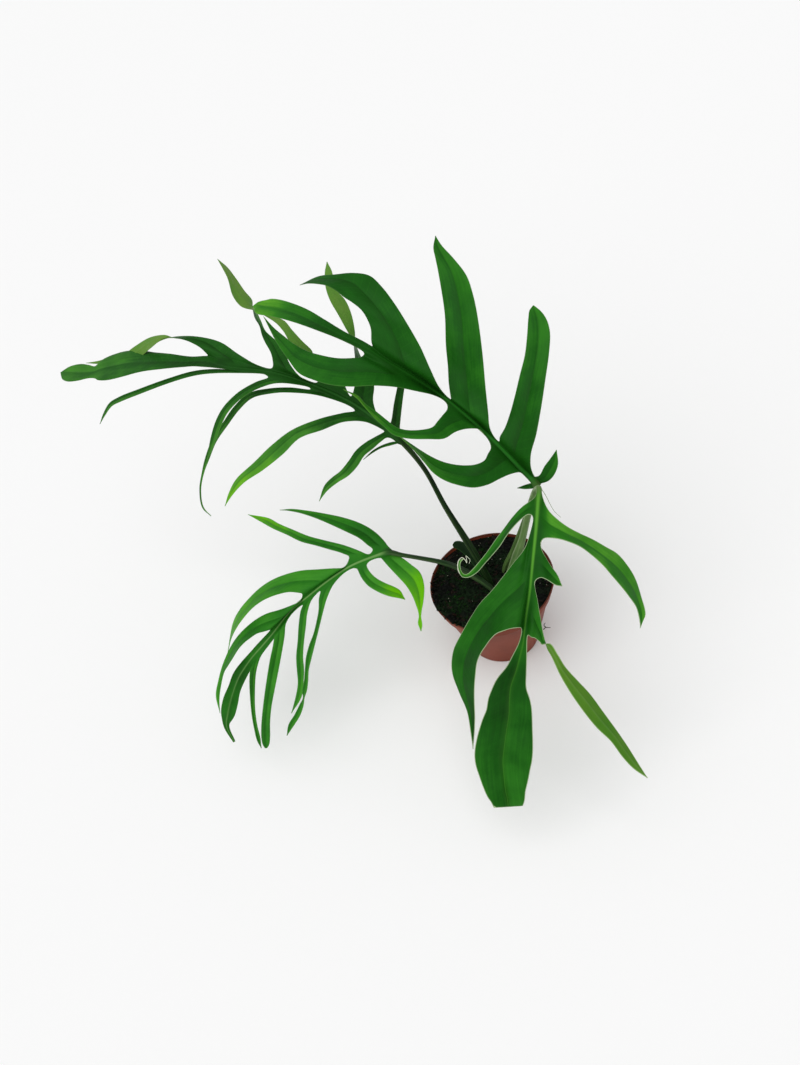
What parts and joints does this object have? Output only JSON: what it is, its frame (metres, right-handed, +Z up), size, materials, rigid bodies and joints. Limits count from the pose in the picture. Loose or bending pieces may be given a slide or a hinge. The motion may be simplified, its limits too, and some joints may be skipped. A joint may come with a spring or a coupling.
{
  "type": "potted monstera croatii",
  "caption": "Young aroid house plant with deeply lobed, arching leaves on long petioles, rooted in soil in a tapered nursery pot.",
  "frame": {"origin": "centre of the pot's underside", "axes": "+Z up, +X to the right as the plant is seen in the picture, -Y towards the viewer"},
  "size_m": [0.4465, 0.5475, 0.3851],
  "materials": {
    "pot": "terracotta-coloured moulded plastic, matt with a slight sheen",
    "soil": "damp, nearly black bark and peat mix with some moss",
    "far_leaf": "leathery leaf, dark green, glossy above and paler below",
    "upper_leaf": "leathery leaf, deep green, glossy above and paler below",
    "front_leaf": "leathery leaf, mid green, glossy above, with a pale midrib",
    "left_leaf": "leathery leaf, mid green with brighter tips, glossy above",
    "old_petiole": "dull green stem remains, dry and brown at the cut"
  },
  "bodies": {
    "root": {"pot": "pot", "soil": "soil", "leaf_far": "far_leaf", "leaf_upper": "upper_leaf", "leaf_front": "front_leaf", "leaf_left": "left_leaf", "old_petiole": "old_petiole"}
  },
  "joints": []
}
